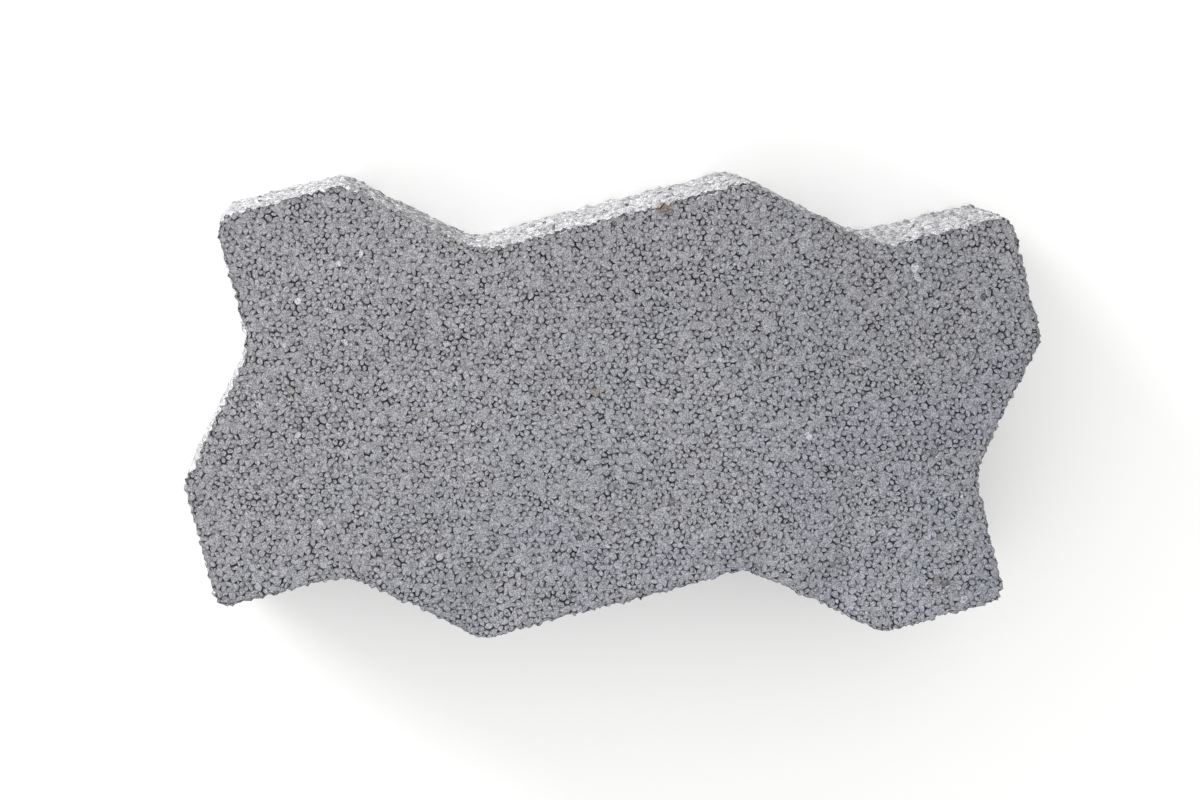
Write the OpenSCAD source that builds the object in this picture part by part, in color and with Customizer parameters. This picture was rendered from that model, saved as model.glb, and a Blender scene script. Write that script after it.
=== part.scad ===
// Interlocking zig-zag paving stone, lying on its bed face with the wear face up.
// Opposite sides are the same line moved by one grid step, so stones of one size lay without gaps.

/* [Laying grid] */
// Length of one stone on the laying grid, joint included
grid_length = 225; // [180:0.5:300]
// Width of one stone on the laying grid, joint included
grid_width = 112.5; // [90:0.5:150]
// Clear joint between two laid stones
joint_width = 2.5; // [1:0.5:5]

/* [Stone] */
// Height from the bed face to the wear face
thickness = 60; // [40:1:120]
// Peak-to-valley depth of the zig-zag on every side
wave_depth = 18.75; // [10:0.25:24]

/* [Rounding in plan] */
// Radius of the four end corners
corner_radius = 5; // [2:0.5:8]
// Radius of the outward peaks
peak_radius = 7; // [2:0.5:14]
// Radius of the inward valleys
valley_radius = 16; // [4:0.5:22]

/* [Output] */
// Which piece to show

/* [Hidden] */
// Largest turn, in degrees, between two points of a rounding
arc_step = 7.5;
concrete_grey = [0.56, 0.57, 0.59];
step_long = grid_length / 6;
step_short = grid_width / 3;
half_wave = wave_depth / 2;
half_l = grid_length / 2;
half_w = grid_width / 2;

// One run of the zig-zag along a side: out by half a wave, in by a whole one, out again.
long_run = [[step_long, half_wave], [step_long, -wave_depth], [2 * step_long, wave_depth],
            [step_long, -wave_depth], [step_long, half_wave]];
short_run = [[half_wave, -step_short], [-wave_depth, -step_short], [half_wave, -step_short]];

// Unit vector at an angle
function unit(angle) = [cos(angle), sin(angle)];

// Sum of the first n steps of a run
function travel(run, n) = n == 0 ? [0, 0] : travel(run, n - 1) + run[n - 1];

top_left = [-half_l, half_w];
top_right = [half_l, half_w];
bottom_left = [-half_l, -half_w];

// Grid outline, clockwise from the top left corner
grid_points = concat(
    [for (n = [0 : 4]) top_left + travel(long_run, n)],
    [for (n = [0 : 3]) top_right + travel(short_run, n)],
    [for (n = [4 : -1 : 1]) bottom_left + travel(long_run, n)],
    [for (n = [3 : -1 : 1]) top_left + travel(short_run, n)]);
corner_count = len(grid_points);

// Inward unit normal of the edge that leaves point i
function edge_vector(i) = grid_points[(i + 1) % corner_count] - grid_points[i];
function inward(i) = [edge_vector(i)[1], -edge_vector(i)[0]] / norm(edge_vector(i));
function before(i) = (i + corner_count - 1) % corner_count;

// Sign of the turn at point i: 1 on an outward corner, -1 in a valley
function turn(i) = sign(cross(edge_vector(i), edge_vector(before(i))));
// Step from point i that moves both of its edges inwards by one
function mitre(i) = (inward(before(i)) + inward(i)) / (1 + inward(before(i)) * inward(i));

// End corners are the square ones; every other outward point is a peak
function is_end(i) = i == 0 || i == 5 || i == 8 || i == 13;
function radius_at(i) = turn(i) < 0 ? valley_radius : is_end(i) ? corner_radius : peak_radius;
function arc_centre(i) = grid_points[i] + mitre(i) * (joint_width / 2 + turn(i) * radius_at(i));

// Points of the rounding at point i, from the incoming edge to the outgoing one
function bend(i) = acos(inward(before(i)) * inward(i));
function arc_steps(i) = ceil(bend(i) / arc_step);
function start_angle(i) = atan2(-turn(i) * inward(before(i))[1], -turn(i) * inward(before(i))[0]);
function arc_points(i) = [for (k = [0 : arc_steps(i)])
    arc_centre(i) + radius_at(i) * unit(start_angle(i) - turn(i) * bend(i) * k / arc_steps(i))];

module outline() {
    polygon([for (i = [0 : corner_count - 1]) each arc_points(i)]);
}

module paving_stone() {
    color(concrete_grey)
        linear_extrude(height = thickness)
            outline();
}

paving_stone();
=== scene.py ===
import math
import random

import bmesh
import bpy
from mathutils import Matrix, Vector, noise
from mathutils.bvhtree import BVHTree


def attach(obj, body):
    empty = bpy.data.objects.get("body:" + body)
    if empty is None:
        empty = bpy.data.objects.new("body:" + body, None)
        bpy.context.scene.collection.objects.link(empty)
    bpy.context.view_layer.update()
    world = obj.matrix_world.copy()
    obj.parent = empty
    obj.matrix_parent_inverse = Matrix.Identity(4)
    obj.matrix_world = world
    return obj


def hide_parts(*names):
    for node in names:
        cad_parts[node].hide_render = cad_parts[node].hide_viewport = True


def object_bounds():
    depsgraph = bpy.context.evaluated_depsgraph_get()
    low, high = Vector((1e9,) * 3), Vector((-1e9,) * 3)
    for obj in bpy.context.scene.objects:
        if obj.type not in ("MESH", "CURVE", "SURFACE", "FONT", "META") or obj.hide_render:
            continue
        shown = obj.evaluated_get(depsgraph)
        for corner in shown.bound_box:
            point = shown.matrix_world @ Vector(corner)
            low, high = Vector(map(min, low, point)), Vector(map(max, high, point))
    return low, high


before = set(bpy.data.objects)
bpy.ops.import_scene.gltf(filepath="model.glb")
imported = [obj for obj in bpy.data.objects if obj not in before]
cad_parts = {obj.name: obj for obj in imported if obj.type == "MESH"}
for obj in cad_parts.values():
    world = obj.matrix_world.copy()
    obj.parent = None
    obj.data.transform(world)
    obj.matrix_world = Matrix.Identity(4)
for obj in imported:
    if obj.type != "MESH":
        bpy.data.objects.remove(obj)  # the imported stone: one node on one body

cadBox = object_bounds()
mm = 0.001

# what a user would change about the stone's shape, in millimetres unless it says otherwise
stone = {
    "node": "paving_stone",
    "seed": 11,
    "grainPitch": 1.66,       # mean distance between grains on the wear face
    "grainJitter": 0.46,      # share of the pitch
    "swallowed": 0.1,         # share of grains taken over by their neighbours, which makes big ones
    "evenness": 0.35,         # how far the grains' distances are evened out, 0 to 1
    "grooveWidths": (0.09, 0.12, 0.16),
    "grooveShare": 0.34,      # share of the places where grains meet that show as a groove
    "grooveDepth": (0.08, 0.3),
    "poreShare": 0.46,        # share of the places where three grains meet that could be open pores
    "poreApart": 0.75,        # share of those that stay shut beside one that is open
    "poreDepth": (0.9, 1.7),
    "porePatch": 14,          # size of the areas with more or fewer pores
    "poreWidening": 0.31,     # how far a pore pushes the points around it outwards
    "poreRoom": 0.35,         # the most it may push, as a share of the shortest side there
    "grainDrop": 0.14,        # how far single grains sit below the mould's plane
    "grainTilt": 0.05,        # slope of a grain's top
    "lostGrains": 0.003,      # share of grains that have fallen out of the face
    "lostAtEdge": 0.07,       # the same along the upper edge
    "lostDepth": (0.5, 1.2),
    "edgeBand": 2.6,          # how far in from the edge the crumbling reaches
    "edgeDrop": 0.12,
    "edgeRound": 0.3,
    "edgeTeeth": 0.65,        # how ragged the upper edge is from grain to grain
    "edgeBurr": 0.5,          # cement left standing on it by the mould
    "fineRows": 3,            # rows under the edge that keep all its points
    "wallStep": 1.75,         # height of one row of the side walls' mesh
    "wallJitter": 0.3,        # how far the walls' points stray, as a share of their distance
    "wallRelief": 1.0,
    "wallGrit": 1.1,          # relief from grain to grain on the walls
    "wallPits": 1.7,          # depth of the blowholes
    "bigPits": (6.5, 0.14, 1.7),    # spacing, share of places that have one, radius
    "smallPits": (2.9, 0.45, 1.2),
    "footReach": 2.6,         # height over which the walls draw in above the bed
    "footDepth": 0.7,
    "bedPitch": 4.0,          # the underside is coarser, as it is never seen from near
    "bedJitter": 0.25,        # share of the pitch
    "bedRelief": 0.6,
    # where the face has sunk while it was struck: x, y, reach, depth
    "slumps": ((61.5, -51.0, 15, 1.0), (40.0, -47.0, 13, 0.8), (-38.0, -53.0, 14, 0.6)),
}


def newObject(bm, name):
    mesh = bpy.data.meshes.new(name)
    bm.to_mesh(mesh)
    bm.free()
    obj = bpy.data.objects.new(name, mesh)
    bpy.context.scene.collection.objects.link(obj)
    return obj


def wallsOf(node):
    # the CAD walls only, to find the nearest point and the outward direction
    bm = bmesh.new()
    bm.from_mesh(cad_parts[node].data)
    bmesh.ops.remove_doubles(bm, verts=bm.verts, dist=0.01 * mm)
    bm.normal_update()
    flat = [f for f in bm.faces if abs(f.normal.z) > 0.5]
    bmesh.ops.delete(bm, geom=flat, context="FACES")
    tree = BVHTree.FromBMesh(bm)
    bm.free()
    return tree


def rimOf(node, z, spacing):
    # the outline as a closed wire with points about one spacing apart
    bm = bmesh.new()
    bm.from_mesh(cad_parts[node].data)
    bmesh.ops.remove_doubles(bm, verts=bm.verts, dist=0.01 * mm)
    bm.normal_update()
    bmesh.ops.delete(bm, geom=[f for f in bm.faces if f.normal.z < 0.9], context="FACES")
    inner = [e for e in bm.edges if not e.is_boundary]
    bmesh.ops.delete(bm, geom=inner, context="EDGES_FACES")
    bmesh.ops.remove_doubles(bm, verts=bm.verts, dist=0.6 * spacing)
    byCuts = {}
    for e in bm.edges:
        byCuts.setdefault(round(e.calc_length() / spacing) - 1, []).append(e)
    for cuts, edges in sorted(byCuts.items()):
        if cuts > 0:
            bmesh.ops.subdivide_edges(bm, edges=edges, cuts=cuts)
    for v in bm.verts:
        v.co.z = z
    return bm


def depthInside(walls, point, midHeight):
    # distance to the nearest wall, positive inside the stone
    near, normal, _, distance = walls.find_nearest(Vector((point.x, point.y, midHeight)))
    return distance if (near - Vector((point.x, point.y, midHeight))).dot(normal) > 0 else -distance


def fillWithLattice(bm, walls, z, pitch, jitter, rng):
    # fills the closed wire in bm with near-equilateral triangles
    rim = list(bm.edges)
    midHeight = (cadBox[0].z + cadBox[1].z) / 2
    halfX = cadBox[1].x + pitch
    halfY = cadBox[1].y + pitch
    columns = math.ceil(2 * halfX / pitch)
    rows = math.ceil(2 * halfY / (pitch * math.sqrt(0.75)))
    place = Matrix.Translation((0, 0, z)) @ Matrix.Diagonal((halfX, halfY, 1, 1))
    made = bmesh.ops.create_grid(bm, x_segments=columns, y_segments=rows, size=1, matrix=place)
    lattice = made["verts"]
    for v in lattice:
        row = round((v.co.y + halfY) / (2 * halfY / rows))
        v.co.x += pitch / 2 * (row % 2)
    bmesh.ops.triangulate(bm, faces=list(bm.faces), quad_method="SHORT_EDGE")
    for v in lattice:
        v.co.x += rng.uniform(-jitter, jitter) * pitch
        v.co.y += rng.uniform(-jitter, jitter) * pitch
    outside = [v for v in lattice if depthInside(walls, v.co, midHeight) < 0.6 * pitch]
    bmesh.ops.delete(bm, geom=outside, context="VERTS")
    rimVerts = {v for e in rim for v in e.verts}
    while True:  # points that would pinch the lattice's edge
        bad = [v for v in bm.verts if v not in rimVerts
               and (not v.link_faces or sum(e.is_boundary for e in v.link_edges) > 2)]
        if not bad:
            break
        bmesh.ops.delete(bm, geom=bad, context="VERTS")
    edge = [e for e in bm.edges if e.is_boundary]
    bmesh.ops.triangle_fill(bm, use_beauty=True, use_dissolve=False, edges=rim + edge)
    beautify(bm)
    relax(bm, stone["evenness"])
    return rimVerts


def relax(bm, factor):
    # evens out the points' distances, and swaps edges to suit
    inner = [v for v in bm.verts if not v.is_boundary]
    bmesh.ops.smooth_vert(bm, verts=inner, factor=factor, use_axis_x=True, use_axis_y=True)
    beautify(bm)


def beautify(bm):
    inner = [e for e in bm.edges if not e.is_boundary]
    bmesh.ops.beautify_fill(bm, faces=list(bm.faces), edges=inner, method="AREA")


def packedGrains(bm):
    # turns every point of a triangulated sheet into a many-sided grain that touches its neighbours
    sheet = newObject(bm, "sheet")
    group = bpy.data.node_groups.new("packedGrains", "GeometryNodeTree")
    group.interface.new_socket("Sheet", in_out="INPUT", socket_type="NodeSocketGeometry")
    group.interface.new_socket("Grains", in_out="OUTPUT", socket_type="NodeSocketGeometry")
    source = group.nodes.new("NodeGroupInput")
    dual = group.nodes.new("GeometryNodeDualMesh")
    dual.inputs["Keep Boundaries"].default_value = True
    result = group.nodes.new("NodeGroupOutput")
    group.links.new(source.outputs[0], dual.inputs["Mesh"])
    group.links.new(dual.outputs[0], result.inputs[0])
    sheet.modifiers.new("packedGrains", "NODES").node_group = group
    mesh = bpy.data.meshes.new_from_object(sheet.evaluated_get(bpy.context.evaluated_depsgraph_get()))
    grains = bmesh.new()
    grains.from_mesh(mesh)
    bpy.data.meshes.remove(mesh)
    bpy.data.objects.remove(sheet)
    return grains


def buildWearFace(walls, rng):
    z = cadBox[1].z
    pitch = stone["grainPitch"] * mm
    bm = rimOf(stone["node"], z, pitch)
    rimVerts = fillWithLattice(bm, walls, z, pitch, stone["grainJitter"], rng)
    taken = set(rimVerts)
    swallowed = []
    for v in bm.verts:
        if v in taken or rng.random() > stone["swallowed"]:
            continue
        around = {e.other_vert(v) for e in v.link_edges}
        if not around & rimVerts:
            swallowed.append(v)
            taken |= around
    bmesh.ops.dissolve_verts(bm, verts=swallowed)
    bmesh.ops.triangulate(bm, faces=[f for f in bm.faces if len(f.verts) > 3])
    beautify(bm)
    relax(bm, stone["evenness"])
    print("wear face:", len(bm.verts), "grains planned,", len(swallowed), "swallowed")
    return packedGrains(bm)


def raiseGrains(bm, rng):
    top = cadBox[1].z
    shade = bm.faces.layers.float.new("grainShade")
    bm.verts.layers.float.new("pore")
    bm.verts.layers.float.new("wall")
    pore = bm.verts.layers.float["pore"]
    wall = bm.verts.layers.float["wall"]
    grains = list(bm.faces)
    junctions = list(bm.verts)
    rim = {v for v in junctions if v.is_boundary}
    widths = stone["grooveWidths"]
    groups = [[] for _ in widths]
    for f in grains:
        groups[rng.randrange(len(widths))].append(f)
    for width, group in zip(widths, groups):
        bmesh.ops.inset_individual(bm, faces=group, thickness=width * mm, depth=0,
                                   use_even_offset=True)
    for f in grains:
        drop = rng.random() ** 2 * stone["grainDrop"] * mm
        atEdge = any(v.is_boundary for e in f.edges for side in e.link_faces for v in side.verts)
        if rng.random() < stone["lostAtEdge" if atEdge else "lostGrains"]:
            drop += rng.uniform(*stone["lostDepth"]) * mm
        tilt = Vector((rng.uniform(-1, 1), rng.uniform(-1, 1), 0)) * stone["grainTilt"]
        centre = f.calc_center_median()
        tone = rng.random()
        for v in f.verts:
            v.co.z = top - drop - max(0, (v.co - centre).dot(tilt) + 0.05 * mm)
        f[shade] = tone
        for e in f.edges:
            for side in e.link_faces:
                side[shade] = tone
    opened = set()
    for v in rng.sample(junctions, len(junctions)):
        kind = rng.random()
        share = stone["poreShare"] * (0.8 + 0.4 * patch(v.co, stone["porePatch"]))
        if any(e.other_vert(v) in opened for e in v.link_edges):
            share *= 1 - stone["poreApart"]
        isPore = kind < share
        low, high = stone["poreDepth"] if isPore else stone["grooveDepth"]
        depth = rng.uniform(low, high)
        if v in rim or kind > share + stone["grooveShare"]:  # the grains touch and no gap shows
            around = [e.other_vert(v).co.z for e in v.link_edges if e.other_vert(v) not in rim]
            v.co.z = sum(around) / len(around) - 0.02 * mm if around else top
            if v in rim:
                v.co.z += rng.random() ** 2 * stone["edgeBurr"] * mm
                # a wall value above 1 makes the upper edge lighter in the material: lighter cement skin and
                # a painted highlight along it, patchy
                v[wall] = 1 + rng.random()
            continue
        v.co.z = top - depth * mm
        # the pore value darkens the colour with depth: painted shade in grooves and pores
        v[pore] = min(1, depth / stone["poreDepth"][1])
        if isPore:
            opened.add(v)
            for e in v.link_edges:
                other = e.other_vert(v)
                if other not in rim and other.co.z > v.co.z + 0.1 * mm:
                    away = (other.co - v.co) * Vector((1, 1, 0))
                    shortest = min(n.calc_length() for n in other.link_edges if n != e)
                    push = min(stone["poreWidening"] * mm, stone["poreRoom"] * shortest)
                    other.co += away.normalized() * push
    for e in bm.edges:
        e.smooth = e.is_boundary or not (e.verts[0][pore] > 0 and e.verts[1][pore] > 0)
    for f in grains:
        for e in f.edges:
            e.smooth = False


def patch(point, size):
    # slow change over the stone, 0 to 1
    return 0.5 + 0.5 * noise.noise(point / (size * mm))


def walkLoop(edges):
    # the verts of a closed loop of edges, in order
    left = set(edges)
    e = edges[0]
    verts = [e.verts[0]]
    v = e.verts[1]
    left.discard(e)
    while v is not verts[0]:
        verts.append(v)
        e = next(n for n in v.link_edges if n in left)
        left.discard(e)
        v = e.other_vert(v)
    return verts


def wireOf(edges):
    # the same edges alone in a bmesh of their own, which keeps the operators quick
    bm = bmesh.new()
    twins = {}
    for e in edges:
        for v in e.verts:
            if v not in twins:
                twins[v] = bm.verts.new(v.co)
        bm.edges.new([twins[v] for v in e.verts])
    return bm


def join(bm, part):
    # adds part to bm and gives its verts there
    mesh = bpy.data.meshes.new("part")
    part.to_mesh(mesh)
    part.free()
    before = len(bm.verts)
    bm.from_mesh(mesh)
    bpy.data.meshes.remove(mesh)
    bm.verts.ensure_lookup_table()
    return bm.verts[before:]


def buildWalls(rim):
    # rows of quads down from the grains' edge
    top, low = cadBox[1].z, cadBox[0].z
    rows = round((top - low) / (stone["wallStep"] * mm))
    bm = wireOf(rim)
    loop = list(bm.edges)
    for row in range(1, rows + 1):
        level = top + (low - top) * row / rows
        made = bmesh.ops.extrude_edge_only(bm, edges=loop)
        for g in made["geom"]:
            if isinstance(g, bmesh.types.BMVert):
                g.co.z = level
        loop = [g for g in made["geom"] if isinstance(g, bmesh.types.BMEdge) and g.is_boundary]
        if row == stone["fineRows"]:  # the grains' edge has twice the points that a wall needs
            around = walkLoop(loop)
            bmesh.ops.weld_verts(bm, targetmap=dict(zip(around[1::2], around[0::2])))
            loop = [e for e in bm.edges
                    if e.is_boundary and max(v.co.z for v in e.verts) < level + 0.1 * mm]
    return bm, loop


def buildBed(walls, loop, rng):
    # the underside: a coarser sheet inside the lowest row
    bm = wireOf(loop)
    fillWithLattice(bm, walls, cadBox[0].z, stone["bedPitch"] * mm, stone["bedJitter"], rng)
    return bm


def pits(q, spacing, share, radius):
    # round hollows, one in some of the cells of a loose packing: 0 outside, 1 at the bottom
    distances, points = noise.voronoi(q / spacing)
    pick = noise.cell(points[0] * 7.3)
    if pick > share:
        return 0
    reach = radius * (0.6 + 0.8 * pick / share) / spacing
    return max(0, 1 - (distances[0] / reach) ** 2)


def wallDepth(p):
    # how far a wall point sits behind the mould's plane, in metres
    q = Vector((p.x, p.y, p.z)) / mm
    q += 0.9 * noise.noise_vector(q / 2.3)
    slow = 0.5 + 0.5 * noise.noise(q / 12)
    fine = 0.5 + 0.5 * noise.noise(q / 3.1 + Vector((9, 4, 7)))
    layer = 0.5 + 0.5 * noise.noise(Vector((q.x / 9, q.y / 9, q.z / 2.3)))
    below = (cadBox[1].z - p.z) / mm
    depth = stone["wallRelief"] * (0.12 * slow + 0.4 * fine + 0.4 * layer) * min(1, 0.5 + below / 8)
    hollow = stone["wallPits"] * pits(q, *stone["bigPits"])
    hollow += 0.6 * stone["wallPits"] * pits(q + Vector((31, 17, 5)), *stone["smallPits"])
    depth += hollow * min(1, 0.15 + below / 5, 0.15 + (p.z - cadBox[0].z) / (6 * mm))
    depth += stone["wallGrit"] * noise.noise(Vector(p) / (1.3 * mm))
    depth += stone["edgeTeeth"] * noise.noise(Vector(p) / (0.9 * mm)) * max(0, 1 - below / 3)
    depth += stone["edgeRound"] * max(0, 1 - below / 1.6)
    return depth * mm


def roughenEdge(verts, walls):
    # draws the face's edge in to meet the rough walls, and rounds it over
    top = cadBox[1].z
    band = stone["edgeBand"] * mm
    for v in verts:
        point = Vector((v.co.x, v.co.y, (top + cadBox[0].z) / 2))
        near, normal, _, distance = walls.find_nearest(point)
        if distance < band:
            share = 1 - distance / band
            near.z = top
            v.co -= normal * wallDepth(near) * share
            v.co.z -= stone["edgeDrop"] * mm * share ** 3


def roughenWalls(verts, walls, rng):
    top, low = cadBox[1].z, cadBox[0].z
    middle = (top + low) / 2
    step = stone["wallStep"] * mm
    stray = stone["wallJitter"]
    for v in verts:
        near, normal, _, _ = walls.find_nearest(Vector((v.co.x, v.co.y, middle)))
        near.z = v.co.z
        if low + 0.5 * step < v.co.z < top - (stone["fineRows"] - 0.5) * step:
            along = Vector((-normal.y, normal.x, 0))
            moved = near + along * rng.uniform(-stray, stray) * stone["grainPitch"] * mm
            moved.z = middle
            near, normal, _, _ = walls.find_nearest(moved)
            near.z = v.co.z + rng.uniform(-stray, stray) * step
        depth = wallDepth(near)
        foot = max(0, 1 - (near.z - low) / (stone["footReach"] * mm))
        depth += foot * foot * stone["footDepth"] * mm * patch(near, 5)
        v.co = near - normal * depth


def roughenBed(bm, rng):
    for v in bm.verts:
        if not v.is_boundary:
            v.co.z += stone["bedRelief"] * mm * rng.random() * patch(v.co, 6)


def slump(verts):
    for x, y, reach, depth in stone["slumps"]:
        for v in verts:
            away = math.hypot(v.co.x - x * mm, v.co.y - y * mm) / (reach * mm)
            if away < 1:
                v.co.z -= depth * mm * (0.5 + 0.5 * math.cos(math.pi * away))


def buildStone():
    rng = random.Random(stone["seed"])
    noise.seed_set(stone["seed"])  # else noise_vector takes its offsets from the clock
    walls = wallsOf(stone["node"])
    bm = buildWearFace(walls, rng)
    raiseGrains(bm, rng)
    print("wear face:", len(bm.faces), "faces")
    sides, lowest = buildWalls([e for e in bm.edges if e.is_boundary])
    rim = {v for v in sides.verts if v.co.z > cadBox[1].z - stone["poreDepth"][1] * mm
           and any(e.is_boundary for e in v.link_edges)}
    roughenEdge(bm.verts, walls)
    roughenWalls([v for v in sides.verts if v not in rim], walls, rng)
    roughenEdge(rim, walls)
    bed = buildBed(walls, lowest, rng)
    roughenBed(bed, rng)
    print("walls:", len(sides.faces), "faces, bed:", len(bed.faces))
    pore = bm.verts.layers.float["pore"]
    wall = bm.verts.layers.float["wall"]
    midHeight = (cadBox[0].z + cadBox[1].z) / 2
    for v in join(bm, sides):
        sunk = depthInside(walls, v.co, midHeight) / mm
        # painted shade in the walls' hollows: the deeper behind the mould's plane, the darker
        v[pore] = min(0.55, max(0, sunk - 0.85) / 1.9)
        v[wall] = 1
    for v in join(bm, bed):
        v[wall] = 1
    slump([v for v in bm.verts if v.co.z > cadBox[1].z - 2.5 * stone["wallStep"] * mm])
    seam = [v for v in bm.verts if v.is_boundary]
    bmesh.ops.remove_doubles(bm, verts=seam, dist=0.005 * mm)
    bmesh.ops.triangulate(bm, faces=[f for f in bm.faces if len(f.verts) > 3])
    bmesh.ops.recalc_face_normals(bm, faces=bm.faces)
    leaks = [e for e in bm.edges if len(e.link_faces) != 2]
    print("stone:", len(bm.faces), "triangles,", len(leaks), "open edges")
    for f in bm.faces:
        f.smooth = True
    return newObject(bm, "paving_stone_cast")


castStone = buildStone()
flatter = castStone.modifiers.new("flatGrainTops", "WEIGHTED_NORMAL")  # light lies flat on each grain
flatter.mode = "FACE_AREA"
flatter.keep_sharp = True
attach(castStone, "root")
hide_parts(stone["node"])


def srgb(code):
    # a hex colour as linear red, green, blue and a full alpha
    parts = [int(code[n:n + 2], 16) / 255 for n in (1, 3, 5)]
    return tuple(c / 12.92 if c <= 0.04045 else ((c + 0.055) / 1.055) ** 2.4 for c in parts) + (1,)


def perMetre(size):
    # texture scale for a pattern whose repeat is this many millimetres
    return 1000 / size


def addNode(tree, kind, settings=None, **inputs):
    # settings are the node's own, inputs are values or sockets: i0, i1 go by number, _ is a space
    node = tree.nodes.new(kind)
    for name, value in (settings or {}).items():
        setattr(node, name, value)
    for name, value in inputs.items():
        byNumber = name[0] == "i" and name[1:].isdigit()
        socket = node.inputs[int(name[1:]) if byNumber else name.replace("_", " ")]
        if isinstance(value, bpy.types.NodeSocket):
            tree.links.new(value, socket)
        else:
            socket.default_value = value
    return node


# Vibrated concrete struck from a steel mould with little water: matt grey, grains of 1 to 3 mm
# glued by cement, dark open pores between them.
concrete = {
    "grey": "#9a9a9e",
    "paste": "#9597a0",       # bluish cement paste, more of it towards one corner
    "wallGrey": "#9c9c9e",
    # painted shade: the near black that pores, grooves and hollows are darkened towards
    "paintedShadeGrey": "#1f2022",
    "warm": "#7d6c5d",        # the few grains that carry iron
    "subGrain": (1.15, 2.1),  # finest grains drawn on the wear face and on the walls, mm
    "holeSpacing": (1.25, 2.8),
    "holeReach": 0.33,        # share of the spacing
    # x, y and size in mm, strength
    "stains": ((13.8, 58.6, 3.6, 0.9), (33.7, 16.8, 1.1, 0.7), (65.6, 48.5, 4.0, 0.18)),
}


def paintConcrete():
    material = bpy.data.materials.new("vibratedConcrete")
    material.use_nodes = True
    tree = material.node_tree
    tree.nodes.clear()

    def calc(operation, *values, clamp=False):
        inputs = {"i%d" % n: value for n, value in enumerate(values)}
        settings = {"operation": operation, "use_clamp": clamp}
        return addNode(tree, "ShaderNodeMath", settings, **inputs).outputs[0]

    def spread(value, fromMin, fromMax, toMin, toMax):
        # maps one range of values to another and stops at both ends
        return addNode(tree, "ShaderNodeMapRange", Value=value, From_Min=fromMin, From_Max=fromMax,
                       To_Min=toMin, To_Max=toMax).outputs[0]

    where = addNode(tree, "ShaderNodeTexCoord").outputs["Object"]
    wall = addNode(tree, "ShaderNodeAttribute", {"attribute_name": "wall"}).outputs["Fac"]
    # lighter and darker clouds over the whole stone, and a painted falloff of light that darkens it towards
    # +x and +y
    cloud = addNode(tree, "ShaderNodeTexNoise", Vector=where, Scale=perMetre(45), Detail=3)
    cloudTone = spread(cloud.outputs["Fac"], 0.3, 0.7, 0.965, 1.035)
    place = addNode(tree, "ShaderNodeSeparateXYZ", Vector=where)
    along = calc("ADD", place.outputs[0], place.outputs[1])
    paintedFalloff = spread(along, 0, 0.12, 1, 0.89)
    # sand and cement in the skin of each grain
    sand = addNode(tree, "ShaderNodeTexNoise", Vector=where, Scale=perMetre(0.38), Detail=2, Roughness=0.7)
    sandTone = spread(sand.outputs["Fac"], 0.34, 0.66, 0.45, 1.55)
    shade = addNode(tree, "ShaderNodeAttribute", {"attribute_name": "grainShade"}).outputs["Fac"]
    # painted highlight: the few grains of the highest tone are made whiter, as if they caught the lamp
    paintedGlint = spread(shade, 0.994, 1, 0, 0.5)
    faceTone = calc("ADD", spread(shade, 0, 1, 0.94, 1.06), paintedGlint)
    # the finest grains: closer on the wear face, wider on the walls and the bed
    stir = addNode(tree, "ShaderNodeTexNoise", Vector=where, Scale=perMetre(2.2), Detail=2)
    stirred = addNode(tree, "ShaderNodeVectorMath", {"operation": "MULTIPLY_ADD"}, i0=stir.outputs["Color"],
                      i1=(1.2 * mm, 1.2 * mm, 1.2 * mm), i2=where).outputs[0]
    low, high = [perMetre(size) for size in concrete["subGrain"]]
    packed = addNode(tree, "ShaderNodeVectorMath", {"operation": "SCALE"}, i0=stirred,
                     Scale=spread(wall, 0, 1, low, high)).outputs[0]
    packing = addNode(tree, "ShaderNodeTexVoronoi", Vector=packed, Scale=1)
    gaps = addNode(tree, "ShaderNodeTexVoronoi", {"feature": "DISTANCE_TO_EDGE"}, Vector=packed, Scale=1)
    skin = addNode(tree, "ShaderNodeTexNoise", Vector=where, Scale=perMetre(2.4), Detail=2)
    gapOpen = spread(skin.outputs["Fac"], 0.45, 0.6, 0, 1)
    gapLine = spread(gaps.outputs["Distance"], 0, 0.13, 1, 0)
    gapHere = calc("MULTIPLY", gapLine, gapOpen)
    cell = addNode(tree, "ShaderNodeSeparateColor", Color=packing.outputs["Color"])
    # lighter cement skin along the upper edge, with a painted highlight there: up to 1.4 times lighter,
    # patchy
    laitanceAndEdgeHighlight = spread(wall, 1, 2, 1, 1.4)
    wallTone = calc("MULTIPLY", spread(cell.outputs[0], 0, 1, 0.76, 1.2), laitanceAndEdgeHighlight)
    grainTone = addNode(tree, "ShaderNodeMix", Factor=wall, i2=faceTone, i3=wallTone).outputs[0]
    tone = calc("MULTIPLY", calc("MULTIPLY", cloudTone, paintedFalloff), calc("MULTIPLY", sandTone, grainTone))
    slurry = addNode(tree, "ShaderNodeTexNoise", Vector=where, Scale=perMetre(16), Detail=3).outputs["Fac"]
    corner = calc("SUBTRACT", place.outputs[0], calc("MULTIPLY", place.outputs[1], 1.5))
    blue = calc("MULTIPLY", spread(slurry, 0.42, 0.62, 0.3, 1), spread(corner, -0.1, 0.16, 0, 0.9))
    faceGrey = addNode(tree, "ShaderNodeMix", {"data_type": "RGBA"}, Factor=blue, i6=srgb(concrete["grey"]),
                       i7=srgb(concrete["paste"])).outputs[2]
    plain = addNode(tree, "ShaderNodeMix", {"data_type": "RGBA"}, Factor=wall, i6=faceGrey,
                    i7=srgb(concrete["wallGrey"])).outputs[2]
    grey = addNode(tree, "ShaderNodeVectorMath", {"operation": "SCALE"}, i0=plain, Scale=tone).outputs[0]
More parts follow.
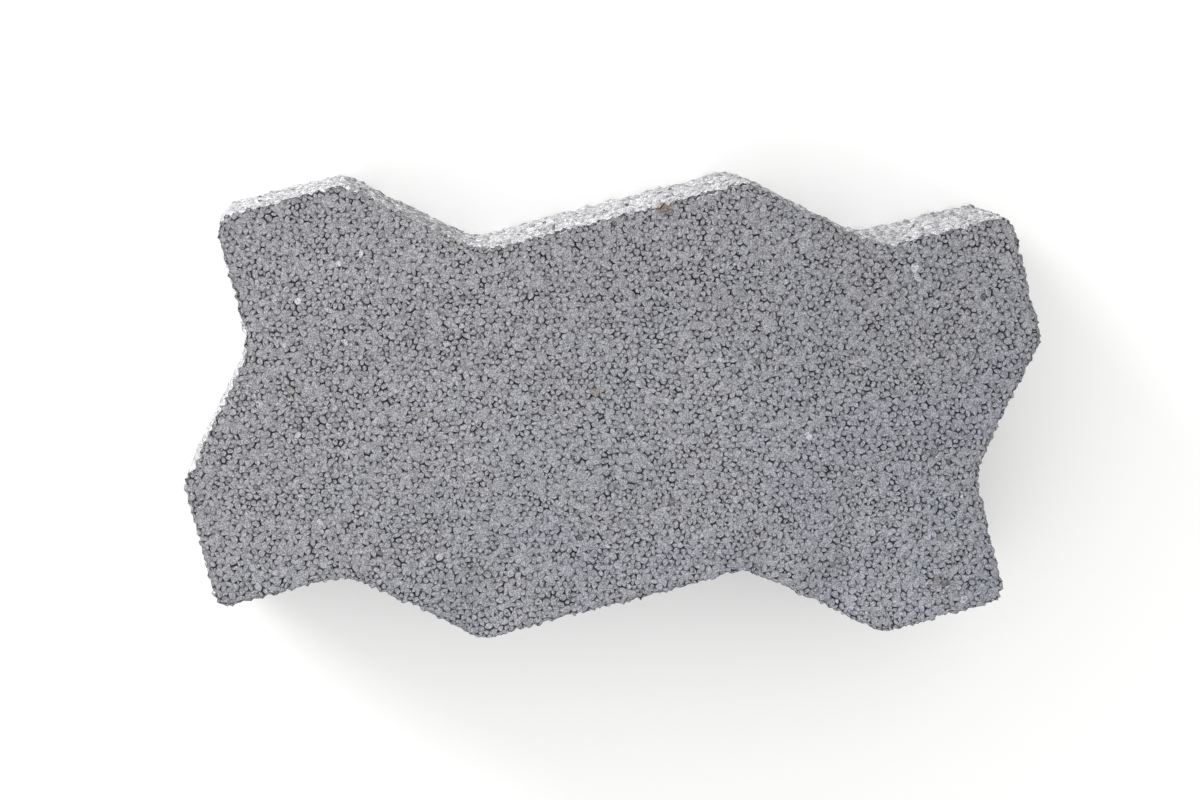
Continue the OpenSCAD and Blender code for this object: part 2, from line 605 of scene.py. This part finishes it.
    # pinholes on the wear face, blowholes on the walls
    low, high = [perMetre(size) for size in concrete["holeSpacing"]]
    spaced = addNode(tree, "ShaderNodeVectorMath", {"operation": "SCALE"}, i0=stirred,
                     Scale=spread(wall, 0, 1, low, high)).outputs[0]
    holes = addNode(tree, "ShaderNodeTexVoronoi", Vector=spaced, Scale=1)
    holePick = addNode(tree, "ShaderNodeSeparateColor", Color=holes.outputs["Color"]).outputs[0]
    reach = spread(holePick, 0, 0.5, concrete["holeReach"], 0)
    hole = spread(calc("SUBTRACT", reach, holes.outputs["Distance"]), 0, 0.12, 0, 1)
    # everything that is in shade or clogged with dust
    # painted shade: darker the deeper a groove, pore or wall hollow sits, and along the finest gaps,
    # pinholes and blowholes
    deep = addNode(tree, "ShaderNodeAttribute", {"attribute_name": "pore"}).outputs["Fac"]
    depthShade = spread(deep, 0.22, 0.85, 0, 0.93)
    fine = calc("MAXIMUM", calc("MULTIPLY", gapHere, 0.5), calc("MULTIPLY", hole, 0.75))
    dark = calc("MAXIMUM", depthShade, fine)
    # iron in a few grains and at a few places
    warmth = calc("MULTIPLY", spread(shade, 0, 0.006, 0.4, 0), calc("SUBTRACT", 1, wall, clamp=True))
    for x, y, size, strength in concrete["stains"]:
        near = addNode(tree, "ShaderNodeVectorMath", {"operation": "DISTANCE"}, i0=stirred,
                       i1=(x * mm, y * mm, cadBox[1].z)).outputs["Value"]
        warmth = calc("MAXIMUM", warmth, spread(near, 0.3 * size * mm, size * mm, strength, 0))
    warm = addNode(tree, "ShaderNodeVectorMath", {"operation": "SCALE"}, i0=srgb(concrete["warm"])[:3],
                   Scale=tone).outputs[0]
    skinColour = addNode(tree, "ShaderNodeMix", {"data_type": "RGBA"}, Factor=warmth, i6=grey,
                         i7=warm).outputs[2]
    # mixes in the painted shade
    colour = addNode(tree, "ShaderNodeMix", {"data_type": "RGBA"}, Factor=dark, i6=skinColour,
                     i7=srgb(concrete["paintedShadeGrey"])).outputs[2]
    # relief too fine for the mesh
    grit = addNode(tree, "ShaderNodeTexNoise", Vector=where, Scale=perMetre(0.5), Detail=3, Roughness=0.7)
    gritBump = addNode(tree, "ShaderNodeBump", Strength=0.6, Distance=0.2 * mm, Height=grit.outputs["Fac"])
    dome = calc("POWER", packing.outputs["Distance"], 2)
    domeHere = calc("MULTIPLY", dome, spread(wall, 0, 1, 0.06, 1))
    sunk = calc("ADD", domeHere, calc("MULTIPLY", hole, spread(wall, 0, 1, 0.35, 1)))
    bump = addNode(tree, "ShaderNodeBump", {"invert": True}, Strength=0.9, Distance=1.4 * mm,
                   Height=sunk, Normal=gritBump.outputs[0])
    shader = addNode(tree, "ShaderNodeBsdfPrincipled", Base_Color=colour, Roughness=0.93,
                     Normal=bump.outputs[0])
    shader.inputs["Specular IOR Level"].default_value = 0.3
    addNode(tree, "ShaderNodeOutputMaterial", Surface=shader.outputs[0])
    return material


castStone.data.materials.append(paintConcrete())

# the studio
studio = {
    "floor": "#fcfcfb",
    "floorSize": 8.0,
    "world": 1.08,
    "keyFrom": (-1.25, 1.08, 0.17),  # low, so that it lights the walls and hardly the wear face
    "keySize": (0.7, 0.3),
    "keyPower": 47.0,
}


def buildFloor():
    bm = bmesh.new()
    bmesh.ops.create_grid(bm, x_segments=2, y_segments=2, size=studio["floorSize"] / 2)
    floor = newObject(bm, "floor")
    material = bpy.data.materials.new("paleFloor")
    material.use_nodes = True
    shader = material.node_tree.nodes["Principled BSDF"]
    shader.inputs["Base Color"].default_value = srgb(studio["floor"])
    shader.inputs["Roughness"].default_value = 0.9
    shader.inputs["Specular IOR Level"].default_value = 0.1
    floor.data.materials.append(material)


def addSoftbox(name, place, size, power, aim=(0, 0, 0.03)):
    light = bpy.data.lights.new(name, "AREA")
    light.shape = "RECTANGLE"
    light.size, light.size_y = size
    light.energy = power
    obj = bpy.data.objects.new(name, light)
    bpy.context.scene.collection.objects.link(obj)
    obj.location = place
    obj.rotation_euler = (Vector(aim) - Vector(place)).to_track_quat("-Z", "Y").to_euler()
    obj.visible_camera = False


def buildWorld():
    world = bpy.data.worlds.new("studio")
    bpy.context.scene.world = world
    world.use_nodes = True
    back = world.node_tree.nodes["Background"]
    back.inputs["Color"].default_value = (1, 1, 1, 1)
    back.inputs["Strength"].default_value = studio["world"]


buildFloor()
buildWorld()
addSoftbox("key", studio["keyFrom"], studio["keySize"], studio["keyPower"])
bpy.context.scene.view_settings.view_transform = "Standard"

view = {
    "aim": (-0.0042, 0.0033, 0.060),
    "towardsCamera": (-0.0627, 0.1155, 0.9913),
    "distance": 1.0199,
    "roll": -0.71,
    "lens": 109.7,
}


def buildCamera():
    data = bpy.data.cameras.new("camera")
    data.sensor_width = 36
    data.lens = view["lens"]
    camera = bpy.data.objects.new("camera", data)
    bpy.context.scene.collection.objects.link(camera)
    back = Vector(view["towardsCamera"]).normalized()
    roll = math.radians(view["roll"])
    right = Vector((math.cos(roll), math.sin(roll), 0))
    up = back.cross(right).normalized()
    right = up.cross(back)
    turn = Matrix((right, up, back)).transposed().to_4x4()
    camera.matrix_world = Matrix.Translation(Vector(view["aim"]) + back * view["distance"]) @ turn
    bpy.context.scene.camera = camera


buildCamera()
